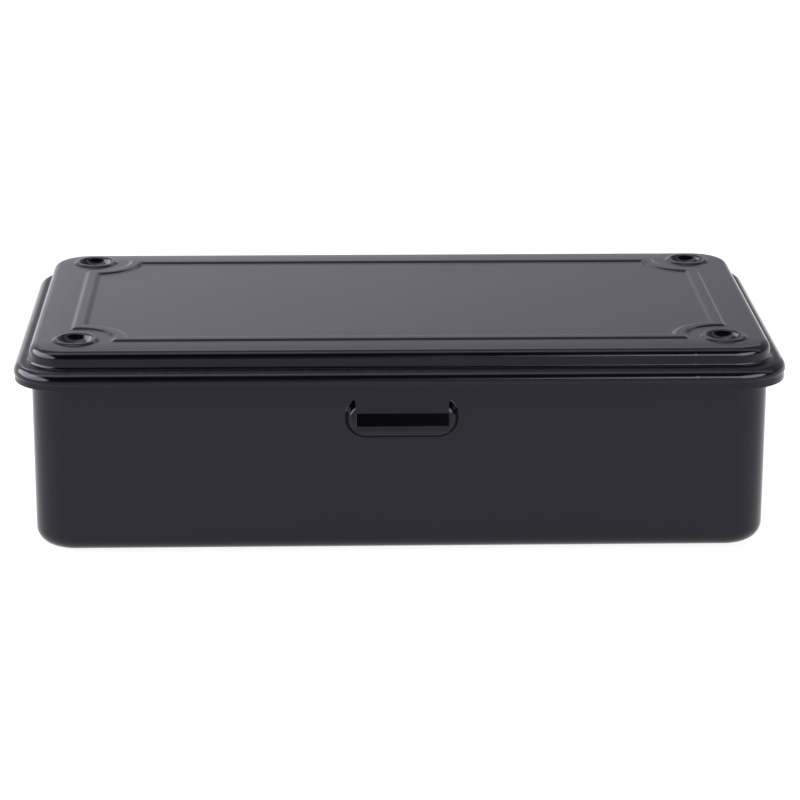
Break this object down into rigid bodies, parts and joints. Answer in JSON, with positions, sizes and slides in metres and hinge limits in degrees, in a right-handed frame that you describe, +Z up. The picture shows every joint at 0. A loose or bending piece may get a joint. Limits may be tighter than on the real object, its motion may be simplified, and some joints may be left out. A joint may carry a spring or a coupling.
{
  "type": "toolbox with tray",
  "caption": "Small stackable pressed-steel tool box with a hinged snap lid and a lift-out compartment tray.",
  "frame": {"origin": "middle of the base, on the surface that the box stands on", "axes": "+X to the right along the box, +Y from the catch to the hinges, +Z up"},
  "size_m": [0.203, 0.1144, 0.057],
  "materials": {
    "black_paint": "semi-gloss black enamel",
    "plated_steel": "zinc plated, dull"
  },
  "bodies": {
    "box": {"body_shell": "black_paint", "hinge_leaf_left": "black_paint", "hinge_leaf_right": "black_paint", "hinge_pin_left": "plated_steel", "hinge_pin_right": "plated_steel", "hinge_rivets_left": "plated_steel", "hinge_rivets_right": "plated_steel", "tray_rest_left": "black_paint", "tray_rest_right": "black_paint"},
    "lid": {"lid_shell": "black_paint"},
    "tray": {"tray_shell": "black_paint", "tray_divider_long": "black_paint", "tray_divider_left": "black_paint", "tray_divider_right": "black_paint", "tray_lug_left": "black_paint", "tray_lug_right": "black_paint", "tray_lug_rivets_left": "plated_steel", "tray_lug_rivets_right": "plated_steel"}
  },
  "joints": [
    {"name": "lid_hinge", "type": "hinge", "parent": "box", "child": "lid", "pos_m": [0, 0.0552, 0.0433], "axis": [-1, 0, 0], "range_deg": [0, 105]},
    {"name": "tray_lift", "type": "slide", "parent": "box", "child": "tray", "axis": [0, 0, 1], "range_m": [0, 0.037]}
  ],
  "couplings": [
    {"joint": "tray_lift", "follows": "lid_hinge", "m_per_rad": 0.02}
  ]
}
